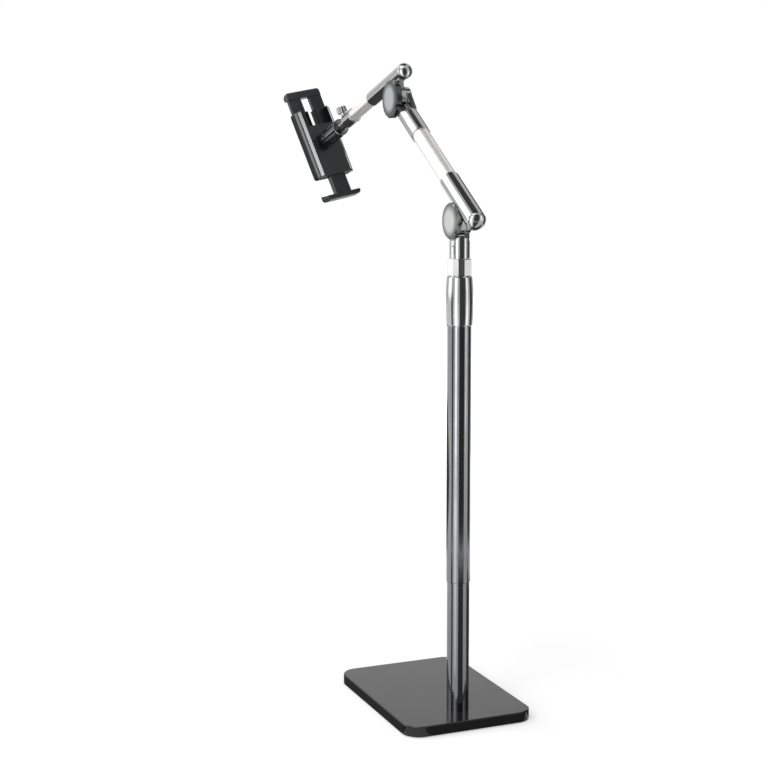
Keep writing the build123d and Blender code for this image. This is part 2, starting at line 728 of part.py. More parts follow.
# Thumb screw that pinches the spindle
with BuildPart() as thumb_screw:
    rod(thumb_axis, spindle_radius + rub_gap, thumb_stem_top, thumb_thread_radius)
    rod(thumb_axis, neck_radius + pass_gap, thumb_stem_top, thumb_stem_radius)
    spin(thumb_axis, [(0, thumb_stem_top), (thumb_knob_radius - thumb_chamfer, thumb_stem_top),
                      (thumb_knob_radius, thumb_stem_top + thumb_chamfer),
                      (thumb_knob_radius, thumb_knob_top - thumb_chamfer),
                      (thumb_knob_radius - thumb_chamfer, thumb_knob_top), (0, thumb_knob_top)])
    with BuildSketch(thumb_axis.offset(thumb_stem_top)):
        with PolarLocations(thumb_knob_radius + thumb_dent_radius / 3, thumb_dents):
            Circle(thumb_dent_radius)
    extrude(amount=thumb_knob_top - thumb_stem_top, mode=Mode.SUBTRACT)
save(thumb_screw, "thumb_screw")

# Wrist spindle with the cup behind the ball
with BuildPart() as wrist_spindle:
    rod(upper_axis, spindle_inner_end + rub_gap, cup_start, spindle_radius)
    rod(upper_axis, neck_end + pass_gap, cup_start, collar_piece_radius)
    rod(upper_axis, cup_start, cup_rim, cup_radius)
    with Locations(ball_centre):
        Sphere(ball_radius + ball_fit, mode=Mode.SUBTRACT)
save(wrist_spindle, "wrist_spindle")

# Fluted nut that closes round the ball
with BuildPart() as ball_nut:
    spin(upper_axis, [(0, nut_start), (nut_radius - thumb_chamfer, nut_start),
                      (nut_radius, nut_start + thumb_chamfer), (nut_radius, nut_end - nut_mouth_long),
                      (nut_mouth_radius, nut_end), (0, nut_end)])
    with BuildSketch(upper_axis.offset(nut_start + flute_start_inset)):
        with PolarLocations(nut_radius + flute_proud, flutes):
            Circle(flute_radius)
    extrude(amount=nut_end - flute_end_inset - nut_start - flute_start_inset, mode=Mode.SUBTRACT)
    rod(upper_axis, nut_start, ball_along - 2 * turning_fit, cup_radius + turning_fit, mode=Mode.SUBTRACT)
    with Locations(ball_centre):
        Sphere(ball_radius + ball_fit, mode=Mode.SUBTRACT)
save(ball_nut, "ball_nut")

# Ball, neck and the flange that turns under the holder's cover
stud_flange_start = holder_ball_out - cover_back + cover_wall + rub_gap
with BuildPart() as ball_stud:
    with Locations(ball_centre):
        Sphere(ball_radius)
    rod(stud_axis, 0, stud_flange_start, stud_radius)
    rod(stud_axis, stud_flange_start, stud_flange_start + stud_flange_thick, stud_flange_radius)
save(ball_stud, "ball_stud")

with BuildPart() as ball_mount:
    mount_low = holder_ball_out - cover_back
    rod(stud_axis, mount_low - mount_disc_thick, mount_low, mount_disc_radius, stud_radius + turning_fit)
    chamfer(ball_mount.faces().sort_by(Axis(ball_centre, holder_out))[-1].edges().sort_by(SortBy.RADIUS)[-1],
            thumb_chamfer)
save(ball_mount, "ball_mount")

# Where the screws stand, and how far the racks reach
low_post_up = low_post_inset - holder_half_length
shell_low = shell_wall - holder_half_length
floor_top = shell_front + shell_floor
face_top = holder_half_length - notch_long
face_inside = cover_back - cover_wall
mid_plate_back = mid_plate_front + mid_plate_thick
guide_inner = tongue_half_width + pass_gap
holder_posts = [(-low_post_across, low_post_up), (low_post_across, low_post_up), (0, top_post_up)]
rack_pitch = pi * gear_module
pitch_radius = gear_module * pinion_teeth / 2
tip_radius = pitch_radius + pinion_addendum
rack_root = pitch_radius + gear_dedendum
rack_tip = pitch_radius - rack_addendum
upper_bar_low = jaw_half_spacing - upper_bar_inset
lower_bar_low = jaw_half_spacing - lower_bar_inset
lower_bar_high = jaw_half_spacing + lower_bar_wall
jaw_close = upper_bar_low - holder_half_length - jaw_stop_gap
short_rack = round((jaw_open + rack_margin) / rack_pitch)
long_rack = round((jaw_close + rack_margin) / rack_pitch)
rail_low = pinion_up - short_rack * rack_pitch
rack_high = pinion_up + long_rack * rack_pitch
prong_high = pinion_up + short_rack * rack_pitch
slot_low = pinion_up - tip_radius - jaw_close - 3 * pass_gap
axle_top = tongue_back + pass_gap

# Holder shell: tray beside the tablet, open at the top for the rails
with BuildPart() as holder_shell:
    with BuildSketch(holder.offset(shell_front)):
        RectangleRounded(2 * shell_half_width, 2 * holder_half_length, shell_corner)
    extrude(amount=shell_back - shell_front)
    hollow_half = shell_half_width - shell_wall
    block(holder, (-hollow_half, hollow_half), (shell_low, holder_half_length + overrun),
          (floor_top, shell_back),
          mode=Mode.SUBTRACT)
    block(holder, (-guide_inner, guide_inner), (-holder_half_length - overrun, shell_low),
          (tongue_front - pass_gap, shell_back), mode=Mode.SUBTRACT)
    for side in (-1, 1):
        block(holder, sorted((side * curb_inner, side * (rail_inner - pass_gap))),
              (face_top + curb_low_gap, holder_half_length), (shell_front, curb_back))
    block(holder, (-curb_inner, curb_inner), (face_top, holder_half_length + overrun),
          (shell_front, floor_top),
          mode=Mode.SUBTRACT)
    rod(pinion_axis, shell_front, axle_top, pinion_axle_radius)
    for place in holder_posts:
        post = spot(holder, *place)
        rod(post, shell_front, mid_plate_front, holder_post_radius)
        rod(post, shell_front, shell_back, holder_screw_radius + seated_fit, mode=Mode.SUBTRACT)
        rod(post, shell_front, shell_front + holder_screw_head_thick, holder_screw_head_radius + seated_fit,
            mode=Mode.SUBTRACT)
save(holder_shell, "holder_shell")

with BuildPart() as front_pad:
    block(holder, (-front_pad_half_width, front_pad_half_width), (front_pad_low, front_pad_high),
          (0, shell_front))
    chamfer(front_pad.faces().sort_by(Axis(holder_middle, holder_out))[0].edges(), shell_front / 2)
save(front_pad, "front_pad")

# Middle plate between the rails and the tongue
with BuildPart() as mid_plate:
    plate_half = hollow_half - seated_fit
    block(holder, (-plate_half, plate_half), (shell_low + seated_fit, face_top),
          (mid_plate_front, mid_plate_back))
    rod(pinion_axis, mid_plate_front, mid_plate_back, tip_radius + pass_gap, mode=Mode.SUBTRACT)
    for place in holder_posts:
        rod(spot(holder, *place), mid_plate_front, mid_plate_back, holder_screw_radius + seated_fit,
            mode=Mode.SUBTRACT)
save(mid_plate, "mid_plate")

# Holder cover: two bevels along each side, notched at the top over the rails
cover_end = Plane(origin=holder_middle - holder_up * holder_half_length, x_dir=-holder_across,
                  z_dir=holder_up)
cover_side_top = shell_back + cover_side_rise
grey_bevel = ((shell_half_width, cover_side_top), (cover_step_across, cover_step_out))
bright_bevel = ((cover_step_across, cover_step_out), (face_half_width, cover_back))
with BuildPart() as holder_cover:
    with BuildSketch(cover_end):
        with BuildLine():
            Polyline((-shell_half_width, shell_back), (-shell_half_width, cover_side_top),
                     (-cover_step_across, cover_step_out), (-face_half_width, cover_back),
                     (face_half_width, cover_back), (cover_step_across, cover_step_out),
                     (shell_half_width, cover_side_top), (shell_half_width, shell_back), close=True)
        make_face()
    extrude(amount=2 * holder_half_length)
    with BuildSketch(cover_end.offset(cover_wall)):
        with BuildLine():
            step_inside = cover_step_across - cover_wall / 2
            face_half = face_half_width - cover_wall / 2
            Polyline((-hollow_half, shell_back), (-step_inside, cover_step_out - cover_wall / 2),
                     (-face_half, face_inside), (face_half, face_inside),
                     (step_inside, cover_step_out - cover_wall / 2), (hollow_half, shell_back), close=True)
        make_face()
    extrude(amount=2 * (holder_half_length - cover_wall), mode=Mode.SUBTRACT)
    for side in (-1, 1):
        cheek = sorted((side * notch_half_width, side * plate_half))
        guide = sorted((side * guide_inner, side * (guide_inner + cover_wall)))
        end_wall = sorted((side * guide_inner, side * step_inside))
        block(holder, cheek, (holder_half_length - cover_wall, holder_half_length),
              (rail_back + pass_gap, shell_back))
        block(holder, guide, (cover_wall - holder_half_length, face_top), (tongue_front, face_inside))
        block(holder, end_wall, (face_top - cover_wall, face_top), (mid_plate_back + rub_gap, shell_back))
        block(holder, sorted((side * guide_inner, side * face_half)), (face_top - cover_wall, face_top),
              (shell_back, face_inside))
    block(holder, (-notch_half_width, notch_half_width), (face_top, holder_half_length + overrun),
          (0, cover_back + overrun), mode=Mode.SUBTRACT)
    block(holder, (-guide_inner, guide_inner),
          (-holder_half_length - overrun, cover_wall - holder_half_length),
          (shell_front, tongue_back + pass_gap), mode=Mode.SUBTRACT)
    for place in holder_posts:
        post = spot(holder, *place)
        post_top = low_post_top if place[1] < 0 else cover_back - cover_wall / 2
        rod(post, mid_plate_back, post_top, holder_post_radius)
        rod(post, mid_plate_back, shell_front + holder_screw_long + rub_gap, holder_screw_radius + seated_fit,
            mode=Mode.SUBTRACT)
    rod(stud_axis, 0, stud_flange_start, stud_radius + turning_fit, mode=Mode.SUBTRACT)
save(holder_cover, "holder_cover")

with BuildPart() as holder_screws:
    for place in holder_posts:
        post = spot(holder, *place)
        rod(post, shell_front + rub_gap, shell_front + holder_screw_head_thick, holder_screw_head_radius)
        rod(post, shell_front + holder_screw_head_thick, shell_front + holder_screw_long, holder_screw_radius)
save(holder_screws, "holder_screws")


def make_strips(bevel, trim_share):
    # Thin strips laid along a bevel, one on each side of the cover
    fall = bevel[0][0] - bevel[1][0]
    rise = bevel[1][1] - bevel[0][1]
    slope = (fall ** 2 + rise ** 2) ** (1 / 2)
    with BuildPart() as strips:
        for side in (-1, 1):
            low = (side * (bevel[0][0] - trim_share[0] * fall), bevel[0][1] + trim_share[0] * rise)
            high = (side * (bevel[0][0] - trim_share[1] * fall), bevel[0][1] + trim_share[1] * rise)
            lift = (side * trim_thick * rise / slope, trim_thick * fall / slope)
            with BuildSketch(cover_end.offset(trim_end_gap)) as section:
                with BuildLine():
                    Polyline(low, high, (high[0] + lift[0], high[1] + lift[1]),
                             (low[0] + lift[0], low[1] + lift[1]),
                             close=True)
                make_face()
            extrude(section.sketch, amount=2 * (holder_half_length - trim_end_gap))
    return strips


# Bright strips on the upper bevels, grey strips on the lower ones
save(make_strips(bright_bevel, bright_trim_share), "bevel_strips")
save(make_strips(grey_bevel, grey_trim_share), "side_strips")

# Pinion on the axle and the torsion spring inside it
base_radius = pitch_radius * cos(radians(pressure_angle))
root_radius = pitch_radius - gear_dedendum


def involute(radius):
    # How far the flank has curled in at this radius
    roll = (max(radius, base_radius) ** 2 / base_radius ** 2 - 1) ** (1 / 2)
    return roll - atan(roll)


def tooth_half(radius):
    # Half the angle that a tooth fills at this radius
    at_pitch = (rack_pitch / 4 - tooth_backlash / 2) / pitch_radius
    return at_pitch + involute(pitch_radius) - involute(radius)


flank = [root_radius] + [base_radius + (tip_radius - base_radius) * step / flank_steps
                         for step in range(flank_steps + 1)]
gear_outline = []
for tooth in range(pinion_teeth):
    middle = 2 * pi * tooth / pinion_teeth
    for radius in flank:
        gear_outline.append((radius * cos(middle - tooth_half(radius)),
                             radius * sin(middle - tooth_half(radius))))
    for radius in reversed(flank):
        gear_outline.append((radius * cos(middle + tooth_half(radius)),
                             radius * sin(middle + tooth_half(radius))))
pinion_front = floor_top + pass_gap
with BuildPart() as sync_pinion:
    with BuildSketch(pinion_axis.offset(pinion_front)):
        with BuildLine():
            Polyline(*gear_outline, close=True)
        make_face()
    extrude(amount=tongue_back - pinion_front)
    rod(pinion_axis, pinion_front, tongue_back, pinion_axle_radius + turning_fit, mode=Mode.SUBTRACT)
    rod(pinion_axis, pinion_front, tongue_back - pinion_hub_thick, spring_radius + spring_clear,
        mode=Mode.SUBTRACT)
save(sync_pinion, "sync_pinion")

with BuildPart() as jaw_spring:
    rod(pinion_axis, floor_top, tongue_back - pinion_hub_thick - spring_clear, spring_radius, spring_bore)
save(jaw_spring, "jaw_spring")


def beyond(side, low, high):
    return sorted((side * low, side * high))


def rack(side, low, count, front, back):
    # Straight teeth that face the pinion, from the lowest one up, with a space at the pinion's middle
    lean = tan(radians(pressure_angle))
    at_pitch = rack_pitch / 4 - tooth_backlash / 2
    with BuildSketch(pinion_axis.offset(front)) as teeth:
        for tooth in range(count):
            middle = low + (tooth + 1 / 2) * rack_pitch
            with BuildLine():
                wide = at_pitch + gear_dedendum * lean
                narrow = at_pitch - rack_addendum * lean
                Polyline((side * (rack_root + seated_fit), middle - wide), (side * rack_root, middle - wide),
                         (side * rack_tip, middle - narrow), (side * rack_tip, middle + narrow),
                         (side * rack_root, middle + wide), (side * (rack_root + seated_fit), middle + wide),
                         close=True)
            make_face()
    extrude(teeth.sketch, amount=back - front)


def make_hook(side, bar_low, bar_high, bar_front, bar_back):
    # A bar across the holder with a hooked lip in front that keeps the tablet's edge
    hook_outer = jaw_half_spacing + hook_wall
    wall_face = jaw_half_spacing + jaw_pad_thick
    along_bar = Plane(origin=holder_middle, x_dir=holder_up * side, z_dir=holder_across * side)
    with BuildPart() as lip:
        with BuildSketch(along_bar) as section:
            with BuildLine():
                Polyline((wall_face, bar_front + hook_round), (hook_outer, bar_front + hook_round),
                         (hook_outer, hook_front), (jaw_half_spacing - hook_lip, hook_front),
                         (jaw_half_spacing - hook_lip, hook_front + hook_thick),
                         (wall_face, hook_front + hook_thick), close=True)
            make_face()
        extrude(section.sketch, amount=hook_half_width, both=True)
        with BuildSketch(holder.offset(hook_front)) as plan:
            RectangleRounded(2 * hook_half_width, 2 * hook_outer, jaw_corner)
        extrude(plan.sketch, amount=overrun, mode=Mode.INTERSECT)
        fillet(lip.faces().sort_by(Axis(holder_middle, holder_out))[0].edges(), hook_round)
    with BuildPart() as hook:
        with BuildSketch(along_bar) as section:
            with BuildLine():
                Polyline((bar_low, bar_front), (bar_low, bar_back), (bar_high, bar_back),
                         (bar_high, bar_front),
                         close=True)
            make_face()
        extrude(section.sketch, amount=jaw_half_width, both=True)
        with BuildSketch(holder.offset(bar_front)) as plan:
            RectangleRounded(2 * jaw_half_width, 2 * bar_high, jaw_corner)
        extrude(plan.sketch, amount=bar_back - bar_front, mode=Mode.INTERSECT)
        back_edges = hook.faces().sort_by(Axis(holder_middle, holder_out))[-1].edges()
        fillet(back_edges.sort_by(Axis(holder_middle, holder_up * side))[1:], jaw_round)
        add(lip.part)
    return hook


def make_jaw_pad(side, bar_front):
    # Ribbed rubber liner against the hook's wall
    with BuildPart() as pad:
        pad_low = hook_front + hook_thick + rub_gap
        pad_high = bar_front - rub_gap
        block(holder, (-jaw_pad_half_width, jaw_pad_half_width),
              beyond(side, jaw_half_spacing, jaw_half_spacing + jaw_pad_thick), (pad_low, pad_high))
        pitch = 2 * jaw_pad_half_width / (pad_grooves + 1)
        for count in range(pad_grooves):
            middle = pitch * (count + 1) - jaw_pad_half_width
            block(holder, (middle - pad_groove, middle + pad_groove),
                  beyond(side, jaw_half_spacing, jaw_half_spacing + pad_groove), (pad_low, pad_high),
                  mode=Mode.SUBTRACT)
    return pad


# Upper jaw: two rails under the middle plate, with the rack beside the pinion
upper_hook = make_hook(1, upper_bar_low, jaw_half_spacing + hook_wall, upper_bar_front, upper_bar_back)
with BuildPart() as upper_jaw:
    add(upper_hook.part)
    for side in (-1, 1):
        block(holder, beyond(side, rail_inner, rail_outer), (rail_low, jaw_half_spacing),
              (rail_front, rail_back))
        groove_near = rail_inner + rail_groove_inset
        groove = beyond(side, groove_near, groove_near + rail_groove_width)
        block(holder, groove, (rail_low, upper_bar_low - rail_groove_inset),
              (rail_back - rail_groove_deep, rail_back),
              mode=Mode.SUBTRACT)
    block(holder, (-rail_inner, -rack_root), (rail_low, rack_high), (rail_front, rail_back))
    rack(-1, rail_low - pinion_up, short_rack + long_rack, rail_front, rail_back)
save(upper_jaw, "upper_jaw")

# Lower jaw: a tongue over the middle plate, forked round the pinion
lower_hook = make_hook(-1, lower_bar_low, lower_bar_high, lower_bar_front, lower_bar_back)
with BuildPart() as lower_jaw:
    add(lower_hook.part)
    with BuildSketch(Plane(origin=holder.from_local_coords((0, prong_high, 0)), x_dir=-holder_across,
                           z_dir=-holder_up)) as section:
        with BuildLine():
            shoulder = tongue_half_width - tongue_chamfer
            Polyline((-tongue_half_width, -tongue_front), (-tongue_half_width, tongue_chamfer - tongue_back),
                     (-shoulder, -tongue_back), (shoulder, -tongue_back),
                     (tongue_half_width, tongue_chamfer - tongue_back),
                     (tongue_half_width, -tongue_front), close=True)
        make_face()
    extrude(section.sketch, amount=prong_high + lower_bar_low + hook_wall)
    block(holder, (-rack_root, rack_root), (slot_low, prong_high), (tongue_front, tongue_back),
          mode=Mode.SUBTRACT)
    rack(1, -long_rack * rack_pitch, long_rack + short_rack, tongue_front, tongue_back)
save(lower_jaw, "lower_jaw")

save(make_jaw_pad(1, upper_bar_front), "upper_jaw_pad")
save(make_jaw_pad(-1, lower_bar_front), "lower_jaw_pad")
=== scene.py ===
import bpy, bmesh, math
from mathutils import Matrix, Vector

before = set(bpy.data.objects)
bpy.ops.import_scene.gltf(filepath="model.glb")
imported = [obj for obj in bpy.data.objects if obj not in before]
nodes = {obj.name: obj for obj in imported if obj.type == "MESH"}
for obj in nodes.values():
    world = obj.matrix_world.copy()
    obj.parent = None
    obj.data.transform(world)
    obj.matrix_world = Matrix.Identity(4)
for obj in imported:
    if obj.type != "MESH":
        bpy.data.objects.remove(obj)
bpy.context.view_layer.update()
scene = bpy.context.scene
white = (1.0, 1.0, 1.0, 1.0)
print("frame loaded:", len(nodes), "nodes")


# small helpers for building node trees
def addNode(tree, kind, **values):
    node = tree.nodes.new(kind)
    for key, value in values.items():
        if hasattr(node, key):
            setattr(node, key, value)
        else:
            node.inputs[key.replace("_", " ")].default_value = value
    return node


# a Mix node keeps floats and colours on different sockets
def addMix(tree, kind):
    node = addNode(tree, "ShaderNodeMix", data_type=kind)
    first, second, result = (2, 3, 0) if kind == "FLOAT" else (6, 7, 2)
    return {
        "factor": node.inputs[0],
        "first": node.inputs[first],
        "second": node.inputs[second],
        "result": node.outputs[result],
    }


def newGroup(name, inputs, outputs):
    group = bpy.data.node_groups.new(name, "ShaderNodeTree")
    for label, default in inputs:
        socket = group.interface.new_socket(label, in_out="INPUT", socket_type="NodeSocketFloat")
        socket.default_value = default
    for label in outputs:
        group.interface.new_socket(label, in_out="OUTPUT", socket_type="NodeSocketFloat")
    return group, group.nodes.new("NodeGroupInput"), group.nodes.new("NodeGroupOutput")


# faint smudges: polished skin is a little hazier in broad soft patches
def smudgeGroup():
    group, given, result = newGroup(
        "softSmudges",
        [("Base Roughness", 0.1), ("Haze", 0.1), ("Scale", 30.0)],
        ["Roughness", "Mask"],
    )
    links = group.links
    coords = addNode(group, "ShaderNodeTexCoord")
    broad = addNode(group, "ShaderNodeTexNoise", Detail=5.0, Roughness=0.62)
    ramp = addNode(group, "ShaderNodeMapRange", From_Min=0.42, From_Max=0.78)
    amount = addNode(group, "ShaderNodeMath", operation="MULTIPLY_ADD")
    links.new(coords.outputs["Object"], broad.inputs["Vector"])
    links.new(given.outputs["Scale"], broad.inputs["Scale"])
    links.new(broad.outputs["Fac"], ramp.inputs["Value"])
    links.new(ramp.outputs["Result"], amount.inputs[0])
    links.new(given.outputs["Haze"], amount.inputs[1])
    links.new(given.outputs["Base Roughness"], amount.inputs[2])
    links.new(amount.outputs["Value"], result.inputs["Roughness"])
    links.new(ramp.outputs["Result"], result.inputs["Mask"])
    return group


# drawn-tube hairlines: noise stretched upwards, as a height
def hairlineGroup():
    group, given, result = newGroup(
        "drawnHairlines",
        [("Fine Scale", 2600.0), ("Long Scale", 40.0)],
        ["Height"],
    )
    links = group.links
    coords = addNode(group, "ShaderNodeTexCoord")
    split = addNode(group, "ShaderNodeSeparateXYZ")
    joined = addNode(group, "ShaderNodeCombineXYZ")
    noise = addNode(group, "ShaderNodeTexNoise", Scale=1.0, Detail=2.0)
    links.new(coords.outputs["Object"], split.inputs["Vector"])
    for axis, scale in (("X", "Fine Scale"), ("Y", "Fine Scale"), ("Z", "Long Scale")):
        stretch = addNode(group, "ShaderNodeMath", operation="MULTIPLY")
        links.new(split.outputs[axis], stretch.inputs[0])
        links.new(given.outputs[scale], stretch.inputs[1])
        links.new(stretch.outputs["Value"], joined.inputs[axis])
    links.new(joined.outputs["Vector"], noise.inputs["Vector"])
    links.new(noise.outputs["Fac"], result.inputs["Height"])
    return group


# spark-eroded mould grain: two sizes of pebbles, as a height and a tint mask
def grainGroup():
    group, given, result = newGroup(
        "mouldGrain",
        [("Scale", 2200.0), ("Coarse Share", 0.4)],
        ["Height", "Mask"],
    )
    coarseSize = 0.55
    links = group.links
    coords = addNode(group, "ShaderNodeTexCoord")
    fine = addNode(group, "ShaderNodeTexNoise", Detail=3.0, Roughness=0.6)
    cells = addNode(group, "ShaderNodeTexVoronoi")
    cellScale = addNode(group, "ShaderNodeMath", operation="MULTIPLY")
    cellScale.inputs[1].default_value = coarseSize
    mixed = addMix(group, "FLOAT")
    broad = addNode(group, "ShaderNodeTexNoise", Scale=60.0, Detail=4.0)
    for texture in (fine, cells, broad):
        links.new(coords.outputs["Object"], texture.inputs["Vector"])
    links.new(given.outputs["Scale"], fine.inputs["Scale"])
    links.new(given.outputs["Scale"], cellScale.inputs[0])
    links.new(cellScale.outputs["Value"], cells.inputs["Scale"])
    links.new(given.outputs["Coarse Share"], mixed["factor"])
    links.new(fine.outputs["Fac"], mixed["first"])
    links.new(cells.outputs["Distance"], mixed["second"])
    links.new(mixed["result"], result.inputs["Height"])
    links.new(broad.outputs["Fac"], result.inputs["Mask"])
    return group


# settled dust: tiny pale specks, kept sparse
def dustGroup():
    group, given, result = newGroup(
        "dustSpecks",
        [("Scale", 420.0), ("Threshold", 0.09)],
        ["Mask"],
    )
    links = group.links
    coords = addNode(group, "ShaderNodeTexCoord")
    cells = addNode(group, "ShaderNodeTexVoronoi")
    near = addNode(group, "ShaderNodeMath", operation="LESS_THAN")
    patches = addNode(group, "ShaderNodeTexNoise", Scale=18.0, Detail=3.0)
    some = addNode(group, "ShaderNodeMapRange", From_Min=0.5, From_Max=0.7)
    both = addNode(group, "ShaderNodeMath", operation="MULTIPLY")
    for texture in (cells, patches):
        links.new(coords.outputs["Object"], texture.inputs["Vector"])
    links.new(given.outputs["Scale"], cells.inputs["Scale"])
    links.new(cells.outputs["Distance"], near.inputs[0])
    links.new(given.outputs["Threshold"], near.inputs[1])
    links.new(patches.outputs["Fac"], some.inputs["Value"])
    links.new(near.outputs["Value"], both.inputs[0])
    links.new(some.outputs["Result"], both.inputs[1])
    links.new(both.outputs["Value"], result.inputs["Mask"])
    return group


# painted shade for a dished face: a darker rim, by the distance from a hinge's axis, which runs along X
def paintedRimShadeGroup():
    group, given, result = newGroup(
        "rimShade",
        [("Centre Y", 0.0), ("Centre Z", 0.0), ("Inner", 0.01), ("Outer", 0.02)],
        ["Mask"],
    )
    links = group.links
    coords = addNode(group, "ShaderNodeTexCoord")
    split = addNode(group, "ShaderNodeSeparateXYZ")
    joined = addNode(group, "ShaderNodeCombineXYZ")
    reach = addNode(group, "ShaderNodeVectorMath", operation="LENGTH")
    ramp = addNode(group, "ShaderNodeMapRange")
    links.new(coords.outputs["Object"], split.inputs["Vector"])
    for axis in ("Y", "Z"):
        beside = addNode(group, "ShaderNodeMath", operation="SUBTRACT")
        links.new(split.outputs[axis], beside.inputs[0])
        links.new(given.outputs["Centre " + axis], beside.inputs[1])
        links.new(beside.outputs["Value"], joined.inputs[axis])
    links.new(joined.outputs["Vector"], reach.inputs[0])
    links.new(reach.outputs["Value"], ramp.inputs["Value"])
    links.new(given.outputs["Inner"], ramp.inputs["From Min"])
    links.new(given.outputs["Outer"], ramp.inputs["From Max"])
    links.new(ramp.outputs["Result"], result.inputs["Mask"])
    return group


groups = {
    "smudges": smudgeGroup(),
    "hairlines": hairlineGroup(),
    "grain": grainGroup(),
    "dust": dustGroup(),
    "rim": paintedRimShadeGroup(),
}
print("shader groups built:", ", ".join(groups))


def useGroup(tree, name, **values):
    return addNode(tree, "ShaderNodeGroup", node_tree=groups[name], **values)


def newMaterial(name):
    material = bpy.data.materials.new(name)
    material.use_nodes = True
    tree = material.node_tree
    return material, tree, tree.nodes["Principled BSDF"]


# a colour that goes towards a darker shade of itself where a mask is high
def shadedColor(tree, look, mask):
    tint = addMix(tree, "RGBA")
    tint["first"].default_value = (*look["color"], 1.0)
    tint["second"].default_value = (*[channel * look["shade"] for channel in look["color"]], 1.0)
    tree.links.new(mask, tint["factor"])
    return tint["result"]


def addBump(tree, shader, height, strength):
    bumpDepth = 0.0002
    bump = addNode(tree, "ShaderNodeBump", Strength=strength, Distance=bumpDepth)
    tree.links.new(height, bump.inputs["Height"])
    tree.links.new(bump.outputs["Normal"], shader.inputs["Normal"])


# plated metal: colour, roughness and, where they show, hairlines or a painted shade at the rim
def platedMetal(name, look):
    material, tree, shader = newMaterial(name)
    shader.inputs["Metallic"].default_value = 1.0
    smudges = useGroup(tree, "smudges", Base_Roughness=look["roughness"], Haze=look["haze"],
                       Scale=look["smudgeScale"])
    color = shadedColor(tree, look, smudges.outputs["Mask"])
    # painted shade: the colour goes darker towards the rim of a knob's cap
    if "rim" in look:
        rim = useGroup(tree, "rim", **look["rim"])
        paintedRimShaded = addMix(tree, "RGBA")
        paintedRimShaded["second"].default_value = (*look["rimColor"], 1.0)
        tree.links.new(rim.outputs["Mask"], paintedRimShaded["factor"])
        tree.links.new(color, paintedRimShaded["first"])
        color = paintedRimShaded["result"]
    tree.links.new(color, shader.inputs["Base Color"])
    tree.links.new(smudges.outputs["Roughness"], shader.inputs["Roughness"])
    if look["hairlines"]:
        lines = useGroup(tree, "hairlines")
        addBump(tree, shader, lines.outputs["Height"], look["hairlines"])
    return material


# moulded plastic or rubber: colour, grain and a little dust
def moulded(name, look):
    dustColor = (0.32, 0.31, 0.3, 1.0)
    smudgeScale = 24.0
    material, tree, shader = newMaterial(name)
    shader.inputs["Metallic"].default_value = 0.0
    shader.inputs["IOR"].default_value = look["ior"]
    shader.inputs["Specular IOR Level"].default_value = look["specular"]
    grain = useGroup(tree, "grain", Scale=look["grainScale"])
    smudges = useGroup(tree, "smudges", Base_Roughness=look["roughness"], Haze=look["haze"],
                       Scale=smudgeScale)
    dust = useGroup(tree, "dust")
    dusted = addMix(tree, "RGBA")
    dusted["second"].default_value = dustColor
    dustAmount = addNode(tree, "ShaderNodeMath", operation="MULTIPLY")
    dustAmount.inputs[1].default_value = look["dust"]
    tree.links.new(shadedColor(tree, look, grain.outputs["Mask"]), dusted["first"])
    tree.links.new(dust.outputs["Mask"], dustAmount.inputs[0])
    tree.links.new(dustAmount.outputs["Value"], dusted["factor"])
    tree.links.new(dusted["result"], shader.inputs["Base Color"])
    tree.links.new(smudges.outputs["Roughness"], shader.inputs["Roughness"])
    addBump(tree, shader, grain.outputs["Height"], look["grain"])
    return material


metalLooks = {
    "gunmetalChrome": {"color": (0.2, 0.202, 0.208), "shade": 0.86, "roughness": 0.11, "haze": 0.07,
                       "smudgeScale": 26.0, "hairlines": 0.006},
    "darkChrome": {"color": (0.36, 0.362, 0.366), "shade": 0.88, "roughness": 0.1, "haze": 0.06,
                   "smudgeScale": 34.0, "hairlines": 0.006},
    "knobGrey": {"color": (0.14, 0.146, 0.142), "shade": 0.86, "roughness": 0.13, "haze": 0.07,
                 "smudgeScale": 26.0, "hairlines": 0.006},
    "knobBlack": {"color": (0.075, 0.085, 0.084), "shade": 0.86, "roughness": 0.13, "haze": 0.07,
                  "smudgeScale": 26.0, "hairlines": 0.006},
    "blackNickel": {"color": (0.13, 0.134, 0.137), "shade": 0.8, "roughness": 0.14, "haze": 0.06,
                    "smudgeScale": 60.0, "hairlines": 0.0},
    "brightChrome": {"color": (0.66, 0.66, 0.665), "shade": 0.88, "roughness": 0.08, "haze": 0.05,
                     "smudgeScale": 40.0, "hairlines": 0.0},
    "stripChrome": {"color": (0.14, 0.142, 0.147), "shade": 0.8, "roughness": 0.2, "haze": 0.1,
                    "smudgeScale": 45.0, "hairlines": 0.0},
    "bevelChrome": {"color": (0.29, 0.292, 0.295), "shade": 0.84, "roughness": 0.2, "haze": 0.1,
                    "smudgeScale": 45.0, "hairlines": 0.0},
    "silverTube": {"color": (0.82, 0.808, 0.798), "shade": 0.93, "roughness": 0.42, "haze": 0.06,
                   "smudgeScale": 30.0, "hairlines": 0.0},
    # the knob caps carry a painted shade: their colour darkens towards the rim
    "capSilver": {"color": (0.56, 0.565, 0.54), "shade": 0.9, "roughness": 0.3, "haze": 0.12,
                  "smudgeScale": 70.0, "hairlines": 0.0, "rimColor": (0.15, 0.155, 0.15),
                  "rim": {"Centre_Y": 0.0854, "Centre_Z": 0.6715, "Inner": 0.0118, "Outer": 0.0202}},
    "capGrey": {"color": (0.4, 0.425, 0.44), "shade": 0.9, "roughness": 0.3, "haze": 0.12,
                "smudgeScale": 70.0, "hairlines": 0.0, "rimColor": (0.03, 0.032, 0.033),
                "rim": {"Centre_Y": -0.11221, "Centre_Z": 0.83697, "Inner": 0.0135, "Outer": 0.0222}},
    "zincSteel": {"color": (0.55, 0.55, 0.545), "shade": 0.82, "roughness": 0.3, "haze": 0.14,
                  "smudgeScale": 90.0, "hairlines": 0.1},
    "castIron": {"color": (0.1, 0.1, 0.1), "shade": 0.7, "roughness": 0.6, "haze": 0.2,
                 "smudgeScale": 70.0, "hairlines": 0.0},
}
